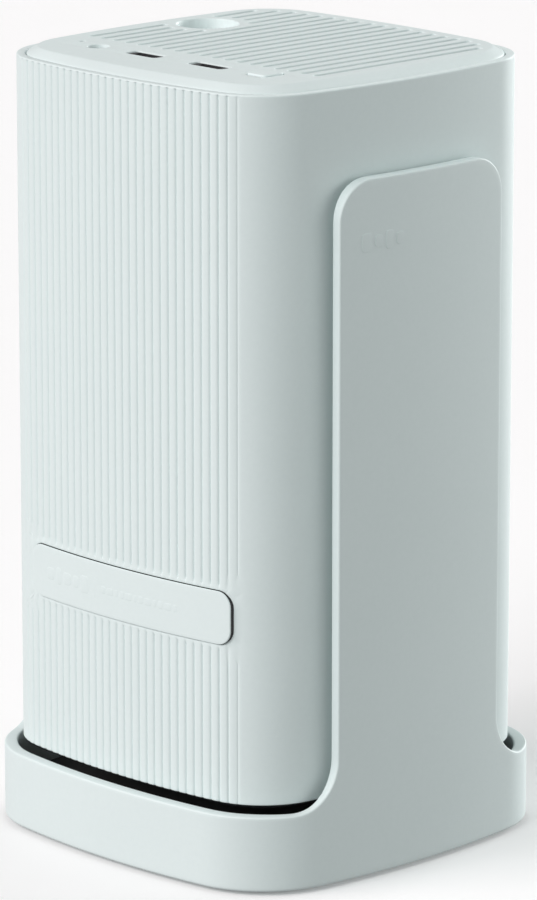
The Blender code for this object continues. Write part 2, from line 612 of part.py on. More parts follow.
def make_fan(body):
    """Axial fan under the exhaust grille: a frame with struts, and a bladed rotor on its own axis."""
    at = (FAN_AT.x, FAN_AT.y)
    frame = node("fan_frame", prism(rounded_rectangle(FAN_SIDE, FAN_SIDE, 5 * MM), FAN_BOTTOM, FAN_TOP, at),
                 "black_plastic", body)
    cut(frame, prism(circle(FAN_R, 40), FAN_BOTTOM - MM, FAN_TOP + MM, at))
    low, high = FAN_BOTTOM, FAN_BOTTOM + 2 * MM
    for span_x, span_y in ((FAN_SIDE / 2 - 2 * MM, 1.5 * MM), (1.5 * MM, FAN_SIDE / 2 - 2 * MM)):
        add(frame, block((at[0] - span_x, at[1] - span_y, low), (at[0] + span_x, at[1] + span_y, high)))
    add(frame, prism(circle(13 * MM), low + 0.1 * MM, high + 0.1 * MM, at))
    hub = [(12 * MM, high + 0.6 * MM), (12 * MM, FAN_TOP - 2.5 * MM), (10.5 * MM, FAN_TOP - MM)]
    rotor = node("fan_rotor", turned(hub, at), "black_plastic", body, (*at, high))
    blades, tilt = 7, math.radians(38)
    for index in range(blades):
        blade = block((10 * MM, -0.7 * MM, -5.5 * MM), (FAN_R - 1.2 * MM, 0.7 * MM, 5.5 * MM))
        turn = Matrix.Rotation(2 * math.pi * index / blades, 4, "Z") @ Matrix.Rotation(tilt, 4, "X")
        blade.transform(Matrix.Translation((*at, (high + FAN_TOP) / 2)) @ turn)
        add(rotor, blade)


def make_electronics(body):
    """Main board behind the front wall, its sockets, the button's switch and the speaker."""
    board = block((-40 * MM, BOARD_BACK, 112 * MM), (40 * MM, BOARD_FRONT, 198 * MM))
    node("main_board", board, "circuit_board", body)
    make_socket("usb_socket", USB_AT, USB_CUT, 1.6 * MM, body)
    make_socket("hdmi_socket", HDMI_AT, HDMI_CUT, 1.2 * MM, body)
    ring = prism(circle(AUDIO_R - 0.4 * MM, 16), SOCKET_BOTTOM, AUDIO_TOP, AUDIO_AT)
    audio = node("audio_socket", ring, "black_plastic", body)
    cut(audio, prism(circle(1.8 * MM, 16), SOCKET_BOTTOM + 2 * MM, AUDIO_TOP + MM, AUDIO_AT))
    well = (WELL_AT.x, WELL_AT.y)
    ring = prism(circle(POWER_SOCKET_R, 16), SOCKET_BOTTOM, POWER_SOCKET_TOP, well)
    power = node("power_socket", ring, "black_plastic", body)
    cut(power, prism(circle(2.75 * MM, 16), SOCKET_BOTTOM + MM, POWER_SOCKET_TOP + MM, well))
    add(power, prism(circle(0.9 * MM, 8), 193.5 * MM, 197.8 * MM, well))
    node("status_light", prism(circle(0.55 * MM, 8), 200 * MM, 208.5 * MM, STATUS_AT), "glass", body)
    node("button_switch", block(BUTTON_AT + Vector((-3, -3, 200)) * MM, BUTTON_AT + Vector((3, 3, 204.4)) * MM),
         "black_plastic", body)
    node("speaker", block((-22 * MM, 38 * MM, 80 * MM), (22 * MM, 49 * MM, 106 * MM)), "black_plastic", body)


def make_socket(name, at, cut_size, tongue_thick, body):
    """Rectangular plug socket opening upwards, with a tongue inside. Its cut in the cap is a gap wider."""
    top = SOCKET_TOP
    outer = [side - 2 * GAP for side in cut_size]
    tongue = SOCKET_MOUTH[0] - 1.2 * MM
    shell = prism(rounded_rectangle(*outer, 0.9 * MM, 2), SOCKET_BOTTOM, top, at)
    socket = node(name, shell, "black_plastic", body)
    cut(socket, prism(rounded_rectangle(*SOCKET_MOUTH, 0.5 * MM, 1), top - 9 * MM, top + MM, at))
    add(socket, block((at.x - tongue / 2, at.y - tongue_thick / 2, top - 10 * MM),
                      (at.x + tongue / 2, at.y + tongue_thick / 2, top - 0.8 * MM)))


def make_button(body):
    """Square power button with a stem that reaches its switch."""
    top = CAP_FLAT_Z + BUTTON_PROUD
    axis = empty("button_axis", (BUTTON_AT.x, BUTTON_AT.y, top), body)
    outline = rounded_rectangle(BUTTON_SIDE, BUTTON_SIDE, 1.2 * MM)
    button = node("power_button", prism(outline, top - 3 * MM, top, BUTTON_AT), "white_plastic", axis)
    add(button, prism(circle(1.5 * MM, 12), 204.4 * MM + BUTTON_TRAVEL + GAP / 2, top - 2.5 * MM, BUTTON_AT))


def main():
    clear_scene()
    make_stand_shell()
    make_base()
    body = empty("tilt_axis", PIVOT)
    for side, name in ((-1, "left"), (1, "right")):
        make_hinge(side, name, body)
    make_sleeve(body)
    make_badge(body)
    make_intake(body)
    make_rear_cap(body)
    make_lens_end(body)
    make_focus(body)
    make_engine(body)
    make_heat_sink(body)
    make_fan(body)
    make_electronics(body)
    make_button(body)


main()
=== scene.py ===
"""Looks of a portable projector that hangs between the arms of a U-shaped tilting stand.

Lengths are in metres, written as millimetres times MM. The moulded pieces are surfaces over two
parameters: one runs round an outline and the other along a profile. Each function says its formula.
"""

import json
import math

import bmesh
import bpy
import numpy as np
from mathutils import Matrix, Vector
from mathutils.geometry import tessellate_polygon


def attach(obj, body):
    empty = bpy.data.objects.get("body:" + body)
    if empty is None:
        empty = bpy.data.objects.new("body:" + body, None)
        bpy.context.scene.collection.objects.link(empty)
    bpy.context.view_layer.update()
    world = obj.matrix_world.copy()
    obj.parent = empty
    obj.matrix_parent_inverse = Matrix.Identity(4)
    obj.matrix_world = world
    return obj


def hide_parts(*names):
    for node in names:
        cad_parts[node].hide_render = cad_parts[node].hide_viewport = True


MM = 0.001

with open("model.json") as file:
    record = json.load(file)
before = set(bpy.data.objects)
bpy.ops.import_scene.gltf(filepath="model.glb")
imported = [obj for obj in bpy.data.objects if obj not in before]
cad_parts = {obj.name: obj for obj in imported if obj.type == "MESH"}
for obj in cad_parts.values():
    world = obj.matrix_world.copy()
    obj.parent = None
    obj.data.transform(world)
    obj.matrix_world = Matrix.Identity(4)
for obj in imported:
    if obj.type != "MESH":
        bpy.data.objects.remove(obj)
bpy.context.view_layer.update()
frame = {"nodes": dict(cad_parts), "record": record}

# Projector body
BODY = (53.85 * MM, 20 * MM, 240 * MM)  # half-width, corner radius, bulge radius
BODY_BOTTOM, BODY_TOP = 22.7 * MM, 207 * MM
BODY_WALL = 2.3 * MM
FLUTES = 31
FLUTE_PITCH = 2.75 * MM
FLUTE_CROWN, FLUTE_GROOVE = 0.14 * MM, 0.36 * MM
FLUTE_POWER = 5
FLUTE_END_Z = 206.75 * MM
FLUTE_FADE = 0.35 * MM
PLAIN_COLUMNS = 216  # round the sides and back, where there are no flutes

# Stand
STAND = (59.05 * MM, 25.5 * MM, 240 * MM)
STAND_WALL = 3.6 * MM
STAND_BOTTOM = 1.0 * MM
STAND_EDGE = 0.5 * MM
COVER_SEAT, TRAY_FLOOR = 7.2 * MM, 8.6 * MM
RIM_Z = 21 * MM
ARM_TOP = 184.3 * MM
ARM_HALF_WIDTH = 29.5 * MM
ARM_CORNER = 10.5 * MM
ARM_ROOT_FILLET = 13.2 * MM
PIVOT_Z = 156 * MM
# The body's swing stays inside a cylinder of this half-length and radius about the pivots
ARM_CLEAR_HALF, ARM_CLEAR_REACH = 54.45 * MM, 134.8 * MM
ARM_CLEAR_BLEND = 9 * MM
SIDE_FROM_X = 45 * MM  # beyond it the inside wall belongs to a side that carries an arm

# Badge, and windows in the sleeve: middle along and up, half-width, half-height, corner radius
BADGE = (2.6 * MM, 71.8 * MM, 37.1 * MM, 7.0 * MM, 4 * MM)
BADGE_PROUD = 0.5 * MM
BADGE_MARGIN, BADGE_FADE = 0.7 * MM, 0.9 * MM  # plain border of the badge, and how fast the flutes return
SEAT_GAP = (0.14 * MM, 0.12 * MM)  # along, where it is an arc length, and up
BADGE_SEAT = (BADGE[0], BADGE[1], BADGE[2] + SEAT_GAP[0], BADGE[3] + SEAT_GAP[1], BADGE[4] + SEAT_GAP[1])
INTAKE = (0, 76 * MM, 27.3 * MM, 28.3 * MM, 7.3 * MM)
PIVOT_HOLE_R = 8.5 * MM
PIVOT_HOLE = (0.0, PIVOT_Z, PIVOT_HOLE_R, PIVOT_HOLE_R, PIVOT_HOLE_R - 0.01 * MM)

# Rear cap
CAP_FLAT = (47.3 * MM, 15 * MM, 335 * MM)
CAP_FLAT_Z, CAP_EDGE_Z, CAP_PLATE_Z, CAP_SKIRT_Z = 208.86 * MM, 206.9 * MM, 206.0 * MM, 200 * MM
CAP_INSET = BODY_WALL + 0.3 * MM
SLOTS = 19
SLOT_PITCH = 4.655 * MM
SLOT_HALF = 0.95 * MM
SLOT_FRONT_Y = -23.4 * MM
SLOT_MARGIN = 2.6 * MM
WELL = (-35.4 * MM, 13 * MM)
WELL_R = 8.3 * MM
WELL_FLOOR_Z = 198 * MM
WELL_WEB = 2.6 * MM  # solid ring between the well and the slots
USB = ((-11.1 * MM, -32 * MM), (5.8 * MM, 2.4 * MM), 1.1 * MM)  # middle, half-sizes, corner radius
DISPLAY = ((12.4 * MM, -31.7 * MM), (6.3 * MM, 2.3 * MM), 1.1 * MM)
BUTTON_AT = (31.4 * MM, -30.5 * MM)
BUTTON_HOLE = (BUTTON_AT, (3.8 * MM, 3.8 * MM), 1.3 * MM)
BUTTON_HALF, BUTTON_CORNER = 3.5 * MM, 1.2 * MM
BUTTON_TOP = CAP_FLAT_Z + 0.45 * MM
AUDIO_AT, AUDIO_R = (-28.7 * MM, -32.4 * MM), 3.0 * MM
LIGHT_AT, LIGHT_R = (-37.6 * MM, -29.8 * MM), 0.9 * MM

# Lens end
PANEL = (47.5 * MM, 14.5 * MM, 182 * MM)
SHROUD_R = 23.2 * MM
SENSOR_AT, SENSOR_R = (31 * MM, -31 * MM), 4.3 * MM
BEZEL_LOW, BEZEL_LEDGE, BEZEL_TOP = 21.2 * MM, 24.4 * MM, 30 * MM
PANEL_LOW, PANEL_TOP = 21.7 * MM, 24.1 * MM
SHROUD_LOW, SHROUD_TOP = 22.0 * MM, 31 * MM
SHROUD_RIDGES = 7
GLASS_R, GLASS_BACK, GLASS_EDGE, GLASS_CROWN = 16.7 * MM, 41 * MM, 38.2 * MM, 3.0 * MM

MERGE_DISTANCE = 0.002 * MM
SMOOTH_ANGLE = 30  # degrees
ROUNDING_STEPS = 4
FRONT_CORNER_STEPS, FRONT_RUNS = 8, 24  # round a corner on the front, and along its long sides


# ---------------------------------------------------------------- outlines

class Outline:
    """Square with bulging sides and round corners, run anticlockwise from the middle of its +X side.

    Each side is an arc of radius bulge and half-angle turn about a point back = bulge - half behind the
    middle. Each corner is an arc of radius corner about (c, c), with (c + back)^2 + c^2 = (bulge - corner)^2.
    """

    def __init__(self, half, corner, bulge):
        self.corner, self.bulge, self.back = corner, bulge, bulge - half
        reach = (bulge - corner) ** 2
        back = self.back
        self.centre = (-2 * back + math.sqrt(4 * back ** 2 - 8 * (back ** 2 - reach))) / 4
        self.turn = math.atan2(self.centre, self.centre + back)
        self.side = self.turn * bulge
        self.quarter = 2 * self.side + (math.pi / 2 - 2 * self.turn) * corner
        self.length = 4 * self.quarter

    def by_length(self, s, inset=0.0):
        """x, y at arc length s, moved inwards by inset."""
        t = (np.asarray(s, float) + self.side) % self.length
        k = np.floor(t / self.quarter)
        t = t - k * self.quarter
        on_side = t < 2 * self.side
        angle = np.where(on_side, t / self.bulge - self.turn, self.turn + (t - 2 * self.side) / self.corner)
        return self._place(on_side, angle, k, inset)

    def by_normal(self, normal, inset=0.0):
        """x, y where the outline faces the angle normal."""
        k = np.floor(normal / (math.pi / 2) + 0.5)
        angle = normal - k * math.pi / 2
        on_side = np.abs(angle) <= self.turn
        before = angle < -self.turn
        k, angle = k - before, np.where(before, angle + math.pi / 2, angle)
        return self._place(on_side, angle, k, inset)

    def _place(self, on_side, angle, k, inset):
        radius = np.where(on_side, self.bulge, self.corner) - inset
        x = np.where(on_side, -self.back, self.centre) + radius * np.cos(angle)
        y = np.where(on_side, 0, self.centre) + radius * np.sin(angle)
        c, s = np.cos(k * math.pi / 2), np.sin(k * math.pi / 2)
        return x * c - y * s, x * s + y * c

    def length_at(self, y):
        """Arc length where the +X side or its corners stand at y."""
        y = np.asarray(y, float)
        size = np.abs(y)
        on_side = size <= self.bulge * math.sin(self.turn)
        side = self.bulge * np.arcsin(np.where(on_side, size, 0) / self.bulge)
        lift = np.clip((size - self.centre) / self.corner, -1, 1)
        bend = self.side + (np.arcsin(lift) - self.turn) * self.corner
        return np.sign(y) * np.where(on_side, side, bend)


body_line = Outline(*BODY)
stand_line = Outline(*STAND)
FRONT_S = 3 * body_line.quarter  # middle of the front, by arc length
BACK_S = body_line.quarter


def smoothstep(x):
    x = np.clip(x, 0, 1)
    return x * x * (3 - 2 * x)


def rounded_rectangle(half_x, half_y, corner, at=(0, 0), steps=6):
    """Points round a rectangle with quarter-circle corners, anticlockwise."""
    angle = np.concatenate([np.linspace(k, k + 1, steps + 1) for k in range(4)]) * math.pi / 2
    quadrant = np.repeat(np.arange(4), steps + 1)
    sx = np.where((quadrant == 0) | (quadrant == 3), 1, -1)
    sy = np.where(quadrant < 2, 1, -1)
    corner = max(corner, 0.01 * MM)
    return np.stack([at[0] + sx * (half_x - corner) + corner * np.cos(angle),
                     at[1] + sy * (half_y - corner) + corner * np.sin(angle)], 1)


def circle(radius, at=(0, 0), steps=48):
    angle = np.arange(steps) * 2 * math.pi / steps
    return np.stack([at[0] + radius * np.cos(angle), at[1] + radius * np.sin(angle)], 1)


def rounding(radius):
    """(inset, drop) pairs over a quarter circle, from the outer wall up to the flat."""
    angle = np.linspace(0, math.pi / 2, ROUNDING_STEPS + 1)
    return np.stack([radius * (1 - np.cos(angle)), radius * (1 - np.sin(angle))], 1)


# ---------------------------------------------------------------- meshes

class Shape:
    """Vertices and faces gathered from grids and loops, then made one piece."""

    def __init__(self):
        self.points, self.faces, self.count = [], [], 0

    def add(self, points, faces):
        """Points as an (n, 3) array and faces as index tuples into them."""
        self.points.append(np.asarray(points, float))
        self.faces += [tuple(int(i) + self.count for i in face) for face in faces]
        self.count += len(points)

    def grid(self, rows, flip=False, keep=None):
        """Quads over a (rows, columns, 3) array whose rows are closed. keep is a mask over its faces."""
        n, m = rows.shape[:2]
        i, j = np.meshgrid(np.arange(n - 1), np.arange(m), indexing="ij")
        right = (j + 1) % m
        quads = np.stack([i * m + j, i * m + right, (i + 1) * m + right, (i + 1) * m + j], -1)
        if flip:
            quads = quads[..., ::-1]
        quads = quads[keep] if keep is not None else quads.reshape(-1, 4)
        self.add(rows.reshape(-1, 3), quads)

    def disc(self, loop, flip=False):
        """Fan of triangles from the middle of a loop."""
        n = len(loop)
        ring = [(i, (i + 1) % n, n) for i in range(n)]
        self.add(np.vstack([loop, loop.mean(0)]), [face[::-1] for face in ring] if flip else ring)

    def plate(self, loops, z, flip=False):
        """Flat face at height z inside the first loop and outside the others."""
        flat = [[Vector((x, y, 0)) for x, y in loop] for loop in loops]
        triangles = np.array(tessellate_polygon(flat))
        points = np.vstack(loops)
        a, b, c = (points[triangles[:, i]] for i in range(3))
        area = np.cross(b - a, c - a)
        wrong = (area > 0) if flip else (area < 0)
        triangles[wrong] = triangles[wrong][:, ::-1]
        triangles = triangles[np.abs(area) > 1e-14]
        self.add(np.column_stack([points, np.full(len(points), z)]), triangles)

    def make(self, name, body, nodes, material, sharp=32):
        """The finished object, merged at its seams, riding on body in place of nodes. sharp is in degrees."""
        mesh = bpy.data.meshes.new(name)
        mesh.from_pydata(np.vstack(self.points).tolist(), [], self.faces)
        mesh.materials.append(material)
        merge(mesh)
        mesh.shade_smooth()
        mesh.set_sharp_from_angle(angle=math.radians(sharp))
        piece = bpy.data.objects.new(name, mesh)
        bpy.context.scene.collection.objects.link(piece)
        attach(piece, body)
        if nodes:
            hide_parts(*nodes)


def merge(mesh):
    """Joins doubled vertices, drops faces that have no area left and turns the rest outwards."""
    work = bmesh.new()
    work.from_mesh(mesh)
    bmesh.ops.remove_doubles(work, verts=work.verts, dist=MERGE_DISTANCE)
    bmesh.ops.dissolve_degenerate(work, edges=work.edges, dist=MERGE_DISTANCE / 4)
    bmesh.ops.recalc_face_normals(work, faces=work.faces)
    work.to_mesh(mesh)
    work.free()


def stacked(loop_of, rows):
    """(rows, points, 3) array from loop_of(inset) and (inset, z) rows."""
    return np.stack([np.column_stack([loop, np.full(len(loop), z)])
                     for loop, z in ((loop_of(inset), z) for inset, z in rows)])


# ---------------------------------------------------------------- finishes

def socket(group, name, kind, default=None, out=False):
    """Input or output of a node group."""
    made = group.interface.new_socket(name=name, in_out="OUTPUT" if out else "INPUT", socket_type=kind)
    if default is not None:
        made.default_value = default


def link(group, source, target):
    group.links.new(source, target)


def math_node(group, operation, a, b):
    made = group.nodes.new("ShaderNodeMath")
    made.operation = operation
    for index, value in enumerate((a, b)):
        if isinstance(value, (int, float)):
            made.inputs[index].default_value = value
        else:
            link(group, value, made.inputs[index])
    return made.outputs[0]


def noise(group, coordinates, scale, detail):
    made = group.nodes.new("ShaderNodeTexNoise")
    made.inputs["Detail"].default_value = detail
    link(group, coordinates, made.inputs["Vector"])
    if isinstance(scale, (int, float)):
        made.inputs["Scale"].default_value = scale
    else:
        link(group, scale, made.inputs["Scale"])
    return made.outputs["Fac"]


DRIFT_SCALE = 28.0  # per metre, as the grain's own scale
COARSE_RATIO, COARSE_HEIGHT = 0.31, 0.6  # second grain's scale and height beside the fine one's
DRIFT, SPECKLE = 0.35, 0.3


def moulded_grain():
    """Fine moulded texture: a slow tone drift, a fine speckle in tone and roughness, and a grain height."""
    group = bpy.data.node_groups.new("moulded_grain", "ShaderNodeTree")
    socket(group, "Colour", "NodeSocketColor", (0.8, 0.8, 0.8, 1))
    socket(group, "Shade", "NodeSocketColor", (0.7, 0.7, 0.7, 1))
    socket(group, "Drift", "NodeSocketFloat", 0.3)
    socket(group, "Speckle", "NodeSocketFloat", 0.3)
    socket(group, "Roughness", "NodeSocketFloat", 0.5)
    socket(group, "Roughness Spread", "NodeSocketFloat", 0.1)
    socket(group, "Grain Scale", "NodeSocketFloat", 2600)
    socket(group, "Colour", "NodeSocketColor", out=True)
    socket(group, "Roughness", "NodeSocketFloat", out=True)
    socket(group, "Height", "NodeSocketFloat", out=True)
    given = group.nodes.new("NodeGroupInput").outputs
    result = group.nodes.new("NodeGroupOutput").inputs
    place = group.nodes.new("ShaderNodeTexCoord").outputs["Object"]
    slow = noise(group, place, DRIFT_SCALE, 3.0)
    fine = noise(group, place, given["Grain Scale"], 1.5)
    coarse = noise(group, place, math_node(group, "MULTIPLY", given["Grain Scale"], COARSE_RATIO), 2.0)
    drift = math_node(group, "MULTIPLY", math_node(group, "SUBTRACT", slow, 0.35), given["Drift"])
    speck = math_node(group, "MULTIPLY", math_node(group, "SUBTRACT", coarse, 0.4), given["Speckle"])
    mix = group.nodes.new("ShaderNodeMix")
    mix.data_type = "RGBA"
    link(group, math_node(group, "ADD", drift, speck), mix.inputs["Factor"])
    link(group, given["Colour"], mix.inputs["A"])
    link(group, given["Shade"], mix.inputs["B"])
    link(group, mix.outputs["Result"], result["Colour"])
    uneven = math_node(group, "SUBTRACT", coarse, 0.5)
    spread = math_node(group, "MULTIPLY", uneven, given["Roughness Spread"])
    link(group, math_node(group, "ADD", given["Roughness"], spread), result["Roughness"])
    raised = math_node(group, "MULTIPLY", coarse, COARSE_HEIGHT)
    link(group, math_node(group, "ADD", fine, raised), result["Height"])
    return group


GRAIN = moulded_grain()


def finish(name, colour, shade, roughness, metallic=0.0, grain=2600.0, depth=0.006, spread=0.12, coat=0.0,
           transmission=0.0):
    """Material with the grain group on its colour, roughness and bump. depth is the grain's height in mm."""
    made = bpy.data.materials.new(name)
    made.use_nodes = True
    tree = made.node_tree
    shader = tree.nodes["Principled BSDF"]
    group = tree.nodes.new("ShaderNodeGroup")
    group.node_tree = GRAIN
    for key, value in (("Colour", (*colour, 1)), ("Shade", (*shade, 1)), ("Drift", DRIFT),
                       ("Speckle", SPECKLE), ("Roughness", roughness), ("Roughness Spread", spread),
                       ("Grain Scale", grain)):
        group.inputs[key].default_value = value
    bump = tree.nodes.new("ShaderNodeBump")
    bump.inputs["Strength"].default_value = 1.0
    bump.inputs["Distance"].default_value = depth * MM
    tree.links.new(group.outputs["Colour"], shader.inputs["Base Color"])
    tree.links.new(group.outputs["Roughness"], shader.inputs["Roughness"])
    tree.links.new(group.outputs["Height"], bump.inputs["Height"])
    tree.links.new(bump.outputs["Normal"], shader.inputs["Normal"])
    shader.inputs["Metallic"].default_value = metallic
    shader.inputs["Coat Weight"].default_value = coat
    shader.inputs["Coat Roughness"].default_value = 0.05
    shader.inputs["Transmission Weight"].default_value = transmission
    return made


WHITE, WHITE_SHADE = (0.764, 0.852, 0.847), (0.669, 0.76, 0.755)
FINISHES = {
    "white_plastic": finish("white_plastic", WHITE, WHITE_SHADE, 0.55),
    "cap_plastic": finish("cap_plastic", WHITE, WHITE_SHADE, 0.5, depth=0.004),
    "black_plastic": finish("black_plastic", (0.012, 0.012, 0.014), (0.03, 0.03, 0.032), 0.5, grain=1800.0),
    "black_gloss": finish("black_gloss", (0.006, 0.006, 0.008), (0.01, 0.01, 0.012), 0.07, depth=0.0003,
                          spread=0.03, coat=0.6),
    "rubber": finish("rubber", (0.035, 0.037, 0.037), (0.06, 0.062, 0.062), 0.8, grain=1200.0, depth=0.02),
    "steel": finish("steel", (0.52, 0.53, 0.55), (0.4, 0.41, 0.43), 0.32, 1.0, grain=900.0, depth=0.002),
    "brass": finish("brass", (0.75, 0.56, 0.27), (0.6, 0.43, 0.2), 0.3, 1.0, grain=900.0, depth=0.002),
    "aluminium": finish("aluminium", (0.72, 0.73, 0.75), (0.6, 0.61, 0.63), 0.36, 1.0, grain=1500.0,
                        depth=0.004),
    "circuit_board": finish("circuit_board", (0.02, 0.13, 0.07), (0.03, 0.2, 0.1), 0.4, grain=700.0,
                            depth=0.01),
    "glass": finish("glass", (0.72, 0.82, 0.9), (0.66, 0.78, 0.88), 0.03, depth=0.0002, spread=0.01,
                    transmission=0.9),
}


def dress_cad_nodes():
    """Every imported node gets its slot's finish, whether a new piece stands for it or not."""
    for entry in frame["record"]["subparts"]:
        node = frame["nodes"][entry["node"]]
        node.data.materials.clear()
        node.data.materials.append(FINISHES[entry["material_slot"]])


def smoothed(name, body):
    """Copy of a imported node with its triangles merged, so that its round walls shade smoothly."""
    mesh = frame["nodes"][name].data.copy()
    merge(mesh)
    mesh.shade_smooth()
    mesh.set_sharp_from_angle(angle=math.radians(SMOOTH_ANGLE))
    piece = bpy.data.objects.new(name + "_shown", mesh)
    bpy.context.scene.collection.objects.link(piece)
    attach(piece, body)
    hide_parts(name)


# ---------------------------------------------------------------- sleeve

def window_distance(window, s, z, middle_s):
    """Signed distance, in the unrolled wall, from a rounded rectangle given as (s, z, half, half, corner)."""
    along, up, half_s, half_z, corner = window
    qs = np.abs(s - middle_s - along) - (half_s - corner)
    qz = np.abs(z - up) - (half_z - corner)
    return np.hypot(np.maximum(qs, 0), np.maximum(qz, 0)) + np.minimum(np.maximum(qs, qz), 0) - corner


def flute_depth(s, z):
    """Depth of the flutes: crowned reeds that meet in narrow grooves.

    With v = 1 - 2u and u the distance from the nearest groove over the pitch,
    depth = FLUTE_CROWN * v^2 + FLUTE_GROOVE * v^FLUTE_POWER. The outermost grooves are shallower, and all of
    them fade out at the top edge and round the badge.
    """
    along = (s - FRONT_S + body_line.length / 2) % body_line.length - body_line.length / 2
    index = along / FLUTE_PITCH
    nearest_groove = np.abs(np.round(index))
    v = 1 - 2 * np.abs(index - np.round(index))
    last = (FLUTES - 1) // 2
    strength = np.interp(nearest_groove, [last - 2, last - 1, last, last + 0.5], [1, 0.75, 0.4, 0])
    top = smoothstep((FLUTE_END_Z - z) / FLUTE_FADE)
    badge = smoothstep((window_distance(BADGE, s, z, FRONT_S) - BADGE_MARGIN) / BADGE_FADE)
    return (FLUTE_CROWN * v ** 2 + FLUTE_GROOVE * v ** FLUTE_POWER) * strength * top * badge


def sleeve_columns():
    """Arc lengths round the sleeve: close together over the flutes, wider over the plain sides."""
    share = np.array([0, 0.025, 0.055, 0.09, 0.13, 0.19, 0.28, 0.4,
                      0.5, 0.6, 0.72, 0.81, 0.87, 0.91, 0.945, 0.975])
    edge = (FLUTES / 2) * FLUTE_PITCH
    first = -(FLUTES - 1) // 2
    fluted = np.concatenate([(first + k + share) * FLUTE_PITCH for k in range(-1, FLUTES)])
    fluted = fluted[(fluted >= -edge) & (fluted <= edge)]
    plain_span = body_line.length - 2 * edge
    plain = edge + np.linspace(0, plain_span, PLAIN_COLUMNS)[1:-1]
    return (FRONT_S + np.concatenate([fluted, plain])) % body_line.length


def nearest(values, target):
    return int(np.argmin(np.abs(values - target)))


def make_sleeve():
    """Sleeve wall: outline point at arc length s, moved in by inset(row) plus the flute depth, at z(row).

    Windows for the badge, the intake grille and the hinge pins are left open in the grid. Each is closed by
    a ring whose points run from the grid's border to the nearest point of the window's own round outline.
    """
    columns = sleeve_columns()
    start = np.argmin(columns)
    columns = np.roll(columns, -start)
    wall = BODY_WALL
    chamfer = 0.2 * MM
    bottom = [(wall, BEZEL_TOP), (wall, BODY_BOTTOM + chamfer), (wall - chamfer, BODY_BOTTOM)]
    bottom += [(inset, BODY_BOTTOM + drop) for inset, drop in rounding(0.3 * MM)[::-1]]
    levels = np.concatenate([
        np.linspace(23.4, 44, 8), np.linspace(48, 58, 4), np.linspace(59.5, 84.5, 76),
        np.linspace(88, 108, 6), np.linspace(114, 138, 4), np.linspace(143, 169, 9),
        np.linspace(175, 204, 6), np.linspace(204.8, 206.4, 9)]) * MM
    main = [(0.0, z) for z in levels]
    top = [(inset, BODY_TOP - drop) for inset, drop in rounding(0.45 * MM)]
    top += [(wall - chamfer - i, BODY_TOP) for i in (0.3 * MM, 0)]
    top += [(wall, BODY_TOP - chamfer), (wall, CAP_SKIRT_Z)]
    rows = np.array(bottom + main + top)
    inset = rows[:, 0][:, None]
    z = np.broadcast_to(rows[:, 1][:, None], (len(rows), len(columns)))
    s = np.broadcast_to(columns[None, :], z.shape)
    depth = inset + flute_depth(s, z) * np.clip(1 - inset / MM, 0, 1)
    x, y = body_line.by_length(s, depth)
    points = np.stack([x, y, z], -1)
    keep = np.ones((len(rows) - 1, len(columns)), bool)
    shape = Shape()
    outer = np.zeros(len(rows), bool)
    outer[len(bottom):len(bottom) + len(main)] = True
    margin_seat, margin_hole = (6 * MM, 4.6 * MM), (4 * MM, 4 * MM)
    windows = [(BADGE_SEAT, FRONT_S, margin_seat, 1.0 * MM), (INTAKE, BACK_S, margin_hole, wall),
               (PIVOT_HOLE, 0.0, margin_hole, wall), (PIVOT_HOLE, 2 * body_line.quarter, margin_hole, wall)]
    row_z = np.where(outer, rows[:, 1], -1)
    for window, middle_s, margin, thickness in windows:
        along, up, half_s, half_z, _ = window
        local = (columns - middle_s - along + body_line.length / 2) % body_line.length - body_line.length / 2
        low_row = nearest(row_z, up - half_z - margin[1])
        high_row = nearest(row_z, up + half_z + margin[1])
        low_col = nearest(local, -half_s - margin[0])
        high_col = nearest(local, half_s + margin[0])
        across = np.arange(low_col, high_col + (len(columns) if high_col < low_col else 0) + 1) % len(columns)
        keep[np.ix_(np.arange(low_row, high_row), across[:-1])] = False
        upward = np.arange(low_row, high_row + 1)
        border = [(low_row, c) for c in across[:-1]] + [(r, across[-1]) for r in upward[:-1]]
        border += [(high_row, c) for c in across[:0:-1]] + [(r, across[0]) for r in upward[:0:-1]]
        border = np.array(border)
        edge = np.column_stack([local[border[:, 1]], rows[border[:, 0], 1] - up])
        shape.grid(window_ring(edge, window, middle_s, thickness))
    shape.grid(points, keep=keep)
    shape.make("sleeve", "projector", ["body_sleeve"], FINISHES["white_plastic"], 50)


def window_ring(edge, window, middle_s, thickness):
    """Rings from a border down into a window.

    edge holds (s, z) about the window's middle. Each point q goes to core + corner * (q - core) / |q - core|,
    where core is q held inside the window's straight-sided middle, and then down through the wall.
    """
    along, up, half_s, half_z, corner = window
    core = np.clip(edge, [corner - half_s, corner - half_z], [half_s - corner, half_z - corner])
    away = edge - core
    direction = away / np.linalg.norm(away, axis=1, keepdims=True)
    soft = 0.22 * MM
    rim = core + direction * corner
    shoulder = core + direction * (corner + soft)
    steps = np.array([0, 0.12, 0.25, 0.4, 0.55, 0.7, 0.85, 1])[:, None, None]
    flat = edge[None] * (1 - steps) + shoulder[None] * steps
    places = list(flat) + [core + direction * (corner + soft * 0.3), rim, rim]
    depths = [0.0] * len(flat) + [soft * 0.3, soft, thickness]
    rings = []
    for place, depth in zip(places, depths):
        s, z = place[:, 0] + along + middle_s, place[:, 1] + up
        x, y = body_line.by_length(s, depth + flute_depth(s, z))
        rings.append(np.column_stack([x, y, z]))
    return np.stack(rings)


# ---------------------------------------------------------------- badge

def on_front(x, z, proud):
    """Point on the front's bulge, going on past its corners: y = back - sqrt((bulge + proud)^2 - x^2)."""
    back = BODY[2] - BODY[0]
    return np.stack([x, back - np.sqrt((BODY[2] + proud) ** 2 - x ** 2), z], -1)


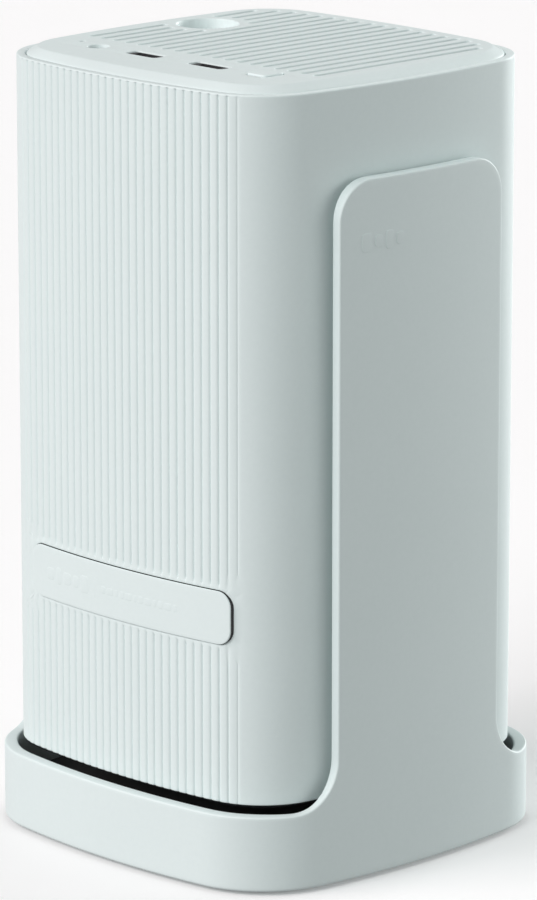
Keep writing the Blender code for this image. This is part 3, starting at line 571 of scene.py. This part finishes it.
def front_loops(at, half_x, half_z, corner, rows):
    """Grid on the front from (inset, proud) rows round a rounded rectangle, dense along its long sides."""
    steps = FRONT_CORNER_STEPS
    loops = []
    for inset, proud in rows:
        loop = rounded_rectangle(half_x - inset, half_z - inset, corner - inset, at, steps)
        long_top = steps  # the run between the first and the second corner crosses the top
        pieces = []
        for index, point in enumerate(loop):
            following = loop[(index + 1) % len(loop)]
            runs = FRONT_RUNS if index % (2 * (steps + 1)) == long_top else 1
            share = np.linspace(0, 1, runs, endpoint=False)[:, None]
            pieces.append(point * (1 - share) + following * share)
        loop = np.vstack(pieces)
        loops.append(on_front(loop[:, 0], loop[:, 1], np.full(len(loop), proud)))
    return np.stack(loops)


def make_badge():
    """Blank plate with a rounded edge, the black frame it sits in and a small generic relief on it. The frame's
    thin black sleeve up the plate's side and its dark seat under the gap are painted shade for the plate's
    shaded side wall and the shadowed gap round it.

    Every ring is a rounded rectangle moved in by inset and stood off the front's bulge by proud. The plate's
    rings go on to its middle line, where they close.
    """
    x, z, half_x, half_z, corner = BADGE
    under = BADGE_PROUD - 0.35 * MM
    rows = [(0.5 * MM, under), (0, under)]
    rows += [(inset, BADGE_PROUD - drop) for inset, drop in rounding(0.15 * MM)]
    rows += [(inset * MM, BADGE_PROUD) for inset in (0.9, 1.8, 2.7, 3.6, 4.8, 6.0, 6.98)]
    plate = Shape()
    grid = front_loops((x, z), half_x, half_z, corner, rows)
    line = grid[-1] * [1, 1, 0] + [0, 0, z]
    plate.grid(np.concatenate([grid, line[None]]))
    plate.make("badge_face", "projector", ["badge_plate"], FINISHES["white_plastic"])
    # Black sleeve hugging the plate's side up to just under its face, and a dark seat under the gap: painted
    # shade for the plate's shaded side wall and the shadowed gap.
    upper, ledge, lower = BADGE_PROUD - 0.38 * MM, -0.5 * MM, -0.85 * MM
    inner, side = 0.6 * MM, -0.04 * MM
    rows = [(inner, lower), (inner, upper), (side / 2, upper), (side, upper - 0.05 * MM), (side, ledge),
            (-SEAT_GAP[1], ledge), (-SEAT_GAP[1], lower), (inner, lower)]
    rim = Shape()
    rim.grid(front_loops((x, z), half_x, half_z, corner, rows), flip=True)
    rim.make("badge_seat_painted_shade", "projector", ["badge_frame"], FINISHES["black_plastic"])
    mark = Shape()
    for at, half, round_off in badge_relief():
        loops = []
        for inset, rise in ((0, -0.1 * MM), (0, 0), (0.06 * MM, 0.03 * MM), (0.15 * MM, 0.04 * MM)):
            loop = rounded_rectangle(half[0] - inset, half[1] - inset, round_off - inset, at)
            loops.append(on_front(loop[:, 0], loop[:, 1], np.full(len(loop), BADGE_PROUD + rise)))
        mark.grid(np.stack(loops))
        mark.disc(loops[-1])
    mark.make("badge_relief", "projector", [], FINISHES["white_plastic"])


def badge_relief():
    """Generic relief as (middle, half-sizes, corner radius): pads of unequal height, a divider and dashes."""
    x, z = BADGE[0], BADGE[1]
    start, pad_gap, dash_gap = -30.5 * MM, 0.9, 0.75
    divider_before, divider_after, dashes = 1.6 * MM, 2.6 * MM, 12
    bars = []
    left = x + start
    for width, half_z in ((3.2, 1.6), (2.2, 2.3), (3.2, 1.6), (2.2, 1.6), (3.2, 2.3)):
        left += width / 2 * MM
        bars.append(((left, z), (width / 2 * MM, half_z * MM), 0.95 * MM))
        left += (width / 2 + pad_gap) * MM
    left += divider_before
    bars.append(((left, z), (0.2 * MM, 2.6 * MM), 0.18 * MM))
    left += divider_after
    for index in range(dashes):
        width = (1.5, 2.2, 1.1)[index % 3]
        left += width / 2 * MM
        bars.append(((left, z), (width / 2 * MM, 0.95 * MM), 0.4 * MM))
        left += (width / 2 + dash_gap) * MM
    return bars


# ---------------------------------------------------------------- stand

def arm_edge():
    """(y, z) up one edge of an arm, over its top and down the other, from rim to rim."""
    root = (ARM_HALF_WIDTH + ARM_ROOT_FILLET, RIM_Z + ARM_ROOT_FILLET)
    tip = (ARM_HALF_WIDTH - ARM_CORNER, ARM_TOP - ARM_CORNER)
    bend = np.radians(np.linspace(-90, 0, 22))
    fillet = np.stack([-root[0] + ARM_ROOT_FILLET * np.cos(bend),
                       root[1] + ARM_ROOT_FILLET * np.sin(bend)], 1)
    rise = np.linspace(root[1], tip[1], 46)[1:-1]
    straight = np.stack([np.full(len(rise), -ARM_HALF_WIDTH), rise], 1)
    turn = np.radians(np.linspace(180, 90, 18))
    corner = np.stack([-tip[0] + ARM_CORNER * np.cos(turn), tip[1] + ARM_CORNER * np.sin(turn)], 1)
    across = np.linspace(-tip[0], 0, 9)[1:]
    top = np.stack([across, np.full(len(across), ARM_TOP)], 1)
    half = np.vstack([fillet, straight, corner, top])
    return np.vstack([half, (half * [-1, 1])[-2::-1]])


def stand_border():
    """Closed border of the stand's wall, unrolled to (s, z): arm, rim, arm, rim.

    Also where each point's row begins: at arc length foot, and a share climb of the way to the pivots.
    """
    arm = arm_edge()
    s_arm = stand_line.length_at(arm[:, 0])
    root, tip = RIM_Z + ARM_ROOT_FILLET, ARM_TOP - ARM_CORNER
    climb_arm = np.clip((arm[:, 1] - root) / (tip - root), 0, 1)
    climb_arm = np.where(np.abs(arm[:, 0]) < ARM_HALF_WIDTH - 0.01 * MM, 1, climb_arm)
    turned = np.clip((ARM_HALF_WIDTH + ARM_ROOT_FILLET - np.abs(arm[:, 0])) / ARM_ROOT_FILLET, 0, 1)
    foot_arm = s_arm * (1 - turned)
    half_length = stand_line.length / 2
    rim_s = np.linspace(s_arm[-1], half_length - s_arm[-1], 74)[1:-1]
    rim = np.zeros(len(rim_s))
    s = np.concatenate([s_arm, rim_s, s_arm + half_length, rim_s + half_length])
    z = np.tile(np.concatenate([arm[:, 1], rim + RIM_Z]), 2)
    foot = np.concatenate([foot_arm, rim_s, foot_arm + half_length, rim_s + half_length])
    return s, z, foot, np.tile(np.concatenate([climb_arm, rim]), 2)


def make_stand():
    """Tray and arms in one wall: a strip between the foot line and the border, rounded over at the border.

    A row of the strip at share t stands at (1 - t) * start + t * border, in unrolled (s, z). Across the edge
    the point moves along the border's normal by -e + e sin(a) while its depth in the wall goes as e - e cos(a).
    """
    s, z, foot, climb = stand_border()
    ds = np.roll(s, -1) - np.roll(s, 1)
    ds = (ds + stand_line.length / 2) % stand_line.length - stand_line.length / 2
    dz = np.roll(z, -1) - np.roll(z, 1)
    size = np.hypot(ds, dz)
    out_s, out_z = -dz / size, ds / size
    edge = STAND_EDGE
    wall = STAND_WALL

    def place(along, up, depth):
        x, y = stand_line.by_length(along, depth)
        return np.stack([x, y, up], -1)

    def row(share, depth, base=0.0, over=-edge):
        """Row at share of the way from its start to the border moved out by over."""
        low = base + climb * (PIVOT_Z - base)
        along = (1 - share) * foot + share * (s + out_s * over)
        return place(along, (1 - share) * low + share * (z + out_z * over), depth)

    foot_soft = 0.8 * MM
    ring = np.unique(np.round(foot[climb == 0] % stand_line.length, 9))
    level = np.ones_like(ring)
    base = [place(ring, level * z_low, inset) for inset, z_low in
            [(wall, COVER_SEAT), (wall, STAND_BOTTOM)]
            + [(inset, STAND_BOTTOM + drop) for inset, drop in rounding(foot_soft)[::-1]]]
    angle = np.linspace(0, math.pi / 2, 6)
    rows = [row(share, 0.0, STAND_BOTTOM + foot_soft) for share in np.linspace(0, 1, 26)]
    rows += [row(1, edge * (1 - np.cos(a)), over=-edge + edge * np.sin(a)) for a in angle[1:]]
    rows += [row(1, depth, over=0.0) for depth in np.linspace(edge, wall - edge, 4)[1:-1]]
    rows += [row(1, wall - edge * (1 - np.sin(a)), over=-edge + edge * np.cos(a)) for a in angle]
    inside_from = len(rows) - len(angle) - 1
    rows += [row(share, wall, TRAY_FLOOR) for share in np.linspace(1, 0, 20)[1:]]
    points = np.stack(rows)
    inside = points[inside_from:]
    reach = np.hypot(inside[..., 1], inside[..., 2] - PIVOT_Z)
    swept = smoothstep((ARM_CLEAR_REACH + ARM_CLEAR_BLEND - reach) / ARM_CLEAR_BLEND)
    across = np.abs(inside[..., 0])
    short = np.maximum(ARM_CLEAR_HALF - across, 0) * (across > SIDE_FROM_X)
    inside[..., 0] += np.sign(inside[..., 0]) * short * swept
    shape = Shape()
    shape.grid(points)
    shape.grid(np.stack(base))
    shape.disc(base[0], flip=True)
    shape.disc(place(ring, level * TRAY_FLOOR, wall))
    shape.make("stand", "stand", ["stand_shell"], FINISHES["white_plastic"], 40)


def make_arm_relief():
    """Generic relief on the right arm, near its front top corner: four small pads, a hair proud of the wall.

    Every ring is a rounded rectangle in (s, z), moved in by inset and stood off the wall by proud.
    """
    shape = Shape()
    left, middle_z, gap = -22.5 * MM, 168 * MM, 1.0
    for width, half_z in ((3.4, 2.4), (2.6, 1.6), (2.6, 2.4), (2.6, 1.6)):
        left += width / 2 * MM
        loops = []
        for inset, proud in ((0, -0.1), (0, 0.04), (0.05, 0.09), (0.15, 0.1)):
            half = ((width / 2 - inset) * MM, (half_z - inset) * MM)
            loop = rounded_rectangle(*half, (0.9 - inset) * MM, (left, middle_z))
            x, y = stand_line.by_length(loop[:, 0], -proud * MM)
            loops.append(np.column_stack([x, y, loop[:, 1]]))
        shape.grid(np.stack(loops))
        shape.disc(loops[-1])
        left += (width / 2 + gap) * MM
    shape.make("arm_relief", "stand", [], FINISHES["white_plastic"])


# ---------------------------------------------------------------- rear cap

def normal_angles():
    """Angles of the outline's normal, close together along the sides, where the outline turns slowly."""
    quarter = np.concatenate([np.linspace(-9, 9, 30), np.linspace(12, 78, 22)])
    return np.radians((quarter[None, :] + np.arange(4)[:, None] * 90).ravel())


def slot_reach(x):
    """How far back the flat face reaches at x, on its bulging back side and corner arc."""
    flat = Outline(*CAP_FLAT)
    fx, fy = flat.by_length(np.linspace(0, flat.quarter, 400))
    order = np.argsort(fx)
    return float(np.interp(abs(x), fx[order], fy[order]))


def cap_holes():
    """(loop function of offset, profile) for every hole, profile being (offset, z) from the top face down."""
    top, under = CAP_FLAT_Z, CAP_PLATE_Z
    soft, end_web = 0.22 * MM, 1.2 * MM
    clear = WELL_R + WELL_WEB
    through = [(soft, top), (soft * 0.3, top - soft * 0.3), (0, top - soft), (0, under)]
    holes = []
    for index in range(SLOTS):
        x = (index - (SLOTS - 1) / 2) * SLOT_PITCH
        reach = slot_reach(abs(x) + SLOT_HALF) - SLOT_MARGIN
        off = abs(x - WELL[0])
        spans = [(SLOT_FRONT_Y, reach)]
        if off < clear - end_web:
            chord = math.sqrt(clear ** 2 - off ** 2)
            spans = [(SLOT_FRONT_Y, WELL[1] - chord), (WELL[1] + chord, reach)]
        holes += [(slot_loop(x, low, high), through) for low, high in spans]
    holes += [(box_loop(*hole), through) for hole in (USB, DISPLAY, BUTTON_HOLE)]
    holes.append((round_loop(AUDIO_AT, AUDIO_R, 28), through))
    holes.append((round_loop(LIGHT_AT, LIGHT_R, 14), through))
    floor, socket_hole, outside = WELL_FLOOR_Z, -4.0 * MM, 1.4 * MM
    floor_back = floor - 1.6 * MM
    well = [(0.5 * MM, top), (0.2 * MM, top - 0.12 * MM), (0, top - 0.5 * MM), (0, floor + 0.8 * MM),
            (-0.25 * MM, floor + 0.25 * MM), (-0.8 * MM, floor), (socket_hole, floor),
            (socket_hole, floor_back), (outside, floor_back), (outside, under)]
    holes.append((round_loop(WELL, WELL_R, 56), well))
    return holes


def slot_loop(x, low, high):
    """Round-ended slot from low to high along y, grown by offset."""
    return lambda offset: rounded_rectangle(SLOT_HALF + offset, (high - low) / 2 + offset, SLOT_HALF + offset,
                                            (x, (low + high) / 2))


def box_loop(at, half, corner):
    """Rounded rectangle grown by offset."""
    return lambda offset: rounded_rectangle(half[0] + offset, half[1] + offset, corner + offset, at)


def round_loop(at, radius, steps):
    """Circle grown by offset."""
    return lambda offset: circle(radius + offset, at, steps)


def make_cap():
    """Cap: a flat top, a sloping band, a rounded edge and a skirt, with holes.

    Over the band the loop goes from the flat's outline (w = 0) to the edge's (w = 1) and falls by g(w), with
    g = w^2 / 0.36 up to w = 0.2 and (w - 0.1) / 0.9 beyond. The holes' walls hang from the top face's loops.
    """
    angles = normal_angles()
    flat_loop = np.stack(Outline(*CAP_FLAT).by_normal(angles), 1)
    edge_loop = np.stack(body_line.by_normal(angles, CAP_INSET), 1)
    shape = Shape()
    rows = []
    for w in (0, 0.04, 0.08, 0.12, 0.16, 0.2, 0.4, 0.6, 0.8, 0.93):
        fall = w * w / 0.36 if w < 0.2 else (w - 0.1) / 0.9
        loop = flat_loop * (1 - w) + edge_loop * w
        z = CAP_FLAT_Z - (CAP_FLAT_Z - CAP_EDGE_Z) * fall
        rows.append(np.column_stack([loop, np.full(len(loop), z)]))
    skirt = 1.8 * MM
    for inset, z in ((0.05 * MM, CAP_EDGE_Z - 0.08 * MM), (0, CAP_EDGE_Z - 0.4 * MM), (0, CAP_SKIRT_Z),
                     (skirt, CAP_SKIRT_Z), (skirt, CAP_PLATE_Z)):
        x, y = body_line.by_normal(angles, CAP_INSET + inset)
        rows.append(np.stack([x, y, np.full(len(x), z)], 1))
    shape.grid(np.stack(rows), flip=True)
    holes = cap_holes()
    shape.plate([flat_loop] + [loop(profile[0][0]) for loop, profile in holes], CAP_FLAT_Z)
    under = [rows[-1][:, :2]] + [loop(profile[-1][0]) for loop, profile in holes]
    shape.plate(under, CAP_PLATE_Z, flip=True)
    for loop, profile in holes:
        shape.grid(stacked(loop, profile))
    shape.make("cap", "projector", ["rear_cap"], FINISHES["cap_plastic"])


def make_button():
    """Square key: its outline moved in by inset at height z, with a rounded edge and a dish 0.08 mm deep."""
    loop = box_loop(BUTTON_AT, (BUTTON_HALF, BUTTON_HALF), BUTTON_CORNER)
    low = BUTTON_TOP - 3 * MM
    centre = -3.4 * MM
    rows = [(centre, low), (0, low)] + [(-i, BUTTON_TOP - d) for i, d in rounding(0.35 * MM)]
    rows += [(-0.9 * MM, BUTTON_TOP), (-1.8 * MM, BUTTON_TOP - 0.05 * MM), (centre, BUTTON_TOP - 0.08 * MM)]
    shape = Shape()
    grid = stacked(loop, rows)
    shape.grid(grid)
    shape.disc(grid[-1])
    shape.disc(grid[0], flip=True)
    shape.make("power_key", "power_button", ["power_button"], FINISHES["white_plastic"])


# ---------------------------------------------------------------- lens end

def make_lens_end():
    """Ring-shaped bezel, gloss panel, stepped shroud and domed front glass, from inset and height rows.

    The shroud and the glass turn their rows of radius and height round the lens's axis. The glass falls with
    the square of its radius.
    """
    angles = normal_angles()
    panel = Outline(*PANEL)

    def outline_loop(line, base):
        return lambda inset: np.stack(line.by_normal(angles, base + inset), 1)

    soft, lip, flange = 0.4 * MM, 3.5 * MM, 5.6 * MM
    low = BEZEL_LOW
    bezel = [(0, BEZEL_TOP)] + [(i, low + d) for i, d in rounding(soft)]
    bezel += [(lip - 0.3 * MM, low), (lip - 0.05 * MM, low + 0.1 * MM), (lip, low + soft), (lip, BEZEL_LEDGE),
              (flange, BEZEL_LEDGE), (flange, BEZEL_TOP), (0, BEZEL_TOP)]
    ring = Shape()
    ring.grid(stacked(outline_loop(body_line, CAP_INSET), bezel), flip=True)
    ring.make("bezel", "projector", ["lens_bezel"], FINISHES["black_plastic"])

    face = Shape()
    low, high = PANEL_LOW, PANEL_TOP
    soft, bevel = 0.35 * MM, 0.15 * MM
    outer = outline_loop(panel, 0)
    face.grid(stacked(outer, [(0, high)] + [(i, low + d) for i, d in rounding(soft)]), flip=True)
    holes = [round_loop((0, 0), SHROUD_R + 0.3 * MM, 72), round_loop(SENSOR_AT, SENSOR_R, 32)]
    face.plate([outer(soft)] + [loop(bevel) for loop in holes], low, flip=True)
    face.plate([outer(0)] + [loop(0) for loop in holes], high)
    for loop in holes:
        face.grid(stacked(loop, [(bevel, low), (0, low + bevel), (0, high)]), flip=True)
    face.make("lens_face", "projector", ["front_panel"], FINISHES["black_gloss"])

    low, high = SHROUD_LOW, SHROUD_TOP
    soft = 0.3 * MM
    ridged = [((22.3 - k * 0.45 - j * 0.35) * MM, (22.6 + k * 1.15 + j * 0.1) * MM)
              for k in range(SHROUD_RIDGES) for j in (0, 1)]
    profile = [(SHROUD_R, high), (SHROUD_R, low + soft), (SHROUD_R - soft, low), (22.6 * MM, low)]
    profile += ridged + [(19.1 * MM, high), (SHROUD_R, high)]
    shroud = Shape()
    shroud.grid(stacked(lambda radius: circle(radius, steps=72), profile), flip=True)
    shroud.make("shroud", "projector", ["lens_shroud"], FINISHES["black_plastic"], 20)

    share = np.linspace(1, 0.02, 14)
    dome = [(GLASS_R, GLASS_BACK)]
    dome += [(GLASS_R * u, GLASS_EDGE - GLASS_CROWN * (1 - u * u)) for u in share]
    glass = Shape()
    grid = stacked(lambda r: circle(r, steps=64), dome)
    glass.grid(grid, flip=True)
    glass.disc(grid[-1], flip=True)
    glass.disc(grid[0])
    glass.make("front_lens", "focus_barrel", ["lens_front_glass"], FINISHES["glass"])


SMOOTH_NODES = (  # node, body, finish
    ("foot_ring", "stand", "rubber"), ("base_cover", "stand", "white_plastic"), ("tray_mat", "stand", "rubber"),
    ("tripod_insert", "stand", "brass"), ("intake_grille", "projector", "white_plastic"),
    ("usb_socket", "projector", "black_plastic"), ("hdmi_socket", "projector", "black_plastic"),
    ("audio_socket", "projector", "black_plastic"), ("power_socket", "projector", "black_plastic"),
    ("sensor_window", "projector", "black_gloss"), ("lens_barrel", "focus_barrel", "black_plastic"),
    ("fan_frame", "projector", "black_plastic"), ("fan_rotor", "fan_rotor", "black_plastic"),
)


# ---------------------------------------------------------------- studio

CAMERA_AZIMUTH, CAMERA_ELEVATION = math.radians(45.9), math.radians(13.75)
CAMERA_TARGET = Vector((0, 0, 100.7 * MM))
CAMERA_DISTANCE = 1.469
CAMERA_LENS, CAMERA_SHIFT = 222.6, 0.0034

SUN_WIDTH = 36  # degrees
SUNS = (  # name, azimuth and elevation in degrees, strength, tint
    ("front", 0, 32, 1.46, (0.97, 1.0, 1.0)),
    ("front_left", -30, 32, 1.25, (1.0, 0.89, 0.9)),
    ("right", 120, 8, 0.58, (0.93, 1.0, 0.99)),
    ("back", 180, 8, 3.27, (0.99, 1.0, 1.0)),
)
WORLD_STRENGTH = 0.3
FLOOR_GLOW = 0.1
FLOOR_HALF = 6.0


def direction(azimuth, elevation):
    """Unit vector towards an azimuth, turned from the front to the right, and an elevation, in radians."""
    return Vector((math.sin(azimuth) * math.cos(elevation), -math.cos(azimuth) * math.cos(elevation),
                   math.sin(elevation)))


def make_camera():
    camera = bpy.data.objects.new("camera", bpy.data.cameras.new("camera"))
    bpy.context.scene.collection.objects.link(camera)
    aim = direction(CAMERA_AZIMUTH, CAMERA_ELEVATION)
    camera.location = CAMERA_TARGET + aim * CAMERA_DISTANCE
    camera.rotation_euler = aim.to_track_quat("Z", "Y").to_euler()
    camera.data.lens = CAMERA_LENS
    camera.data.shift_x = CAMERA_SHIFT
    camera.data.clip_start = 0.05
    bpy.context.scene.camera = camera


def make_sun(name, azimuth, elevation, strength, tint):
    """Broad, soft sun shining from a direction given as the camera's is, in degrees."""
    lamp = bpy.data.lights.new(name, "SUN")
    lamp.energy, lamp.color, lamp.angle = strength, tint, math.radians(SUN_WIDTH)
    lit = bpy.data.objects.new(name, lamp)
    bpy.context.scene.collection.objects.link(lit)
    aim = direction(math.radians(azimuth), math.radians(elevation))
    lit.rotation_euler = aim.to_track_quat("Z", "Y").to_euler()


def make_world(strength):
    world = bpy.data.worlds.new("studio")
    bpy.context.scene.world = world
    world.use_nodes = True
    background = world.node_tree.nodes["Background"]
    background.inputs["Color"].default_value = (1, 1, 1, 1)
    background.inputs["Strength"].default_value = strength


def set_tones():
    """Plain display tones, so that white plastic stays white."""
    bpy.context.scene.view_settings.view_transform = "Standard"


def make_floor():
    """Pale, faintly glowing floor. It doesn't light the object, so that the sides keep their shade."""
    mesh = bpy.data.meshes.new("floor")
    corners = [(x * FLOOR_HALF, y * FLOOR_HALF, 0) for x, y in ((-1, -1), (1, -1), (1, 1), (-1, 1))]
    mesh.from_pydata(corners, [], [(0, 1, 2, 3)])
    pale = finish("floor", (0.92, 0.92, 0.92), (0.88, 0.88, 0.88), 0.9, grain=60.0, depth=0.0)
    shader = pale.node_tree.nodes["Principled BSDF"]
    shader.inputs["Emission Color"].default_value = (1, 1, 1, 1)
    shader.inputs["Emission Strength"].default_value = FLOOR_GLOW
    mesh.materials.append(pale)
    floor = bpy.data.objects.new("floor", mesh)
    bpy.context.scene.collection.objects.link(floor)
    floor.visible_diffuse = False


def main():
    dress_cad_nodes()
    make_sleeve()
    make_badge()
    make_stand()
    make_arm_relief()
    make_cap()
    make_button()
    make_lens_end()
    for name, body, finish_name in SMOOTH_NODES:
        smoothed(name, body)
    make_floor()
    make_camera()
    set_tones()
    make_world(WORLD_STRENGTH)
    for sun in SUNS:
        make_sun(*sun)


main()
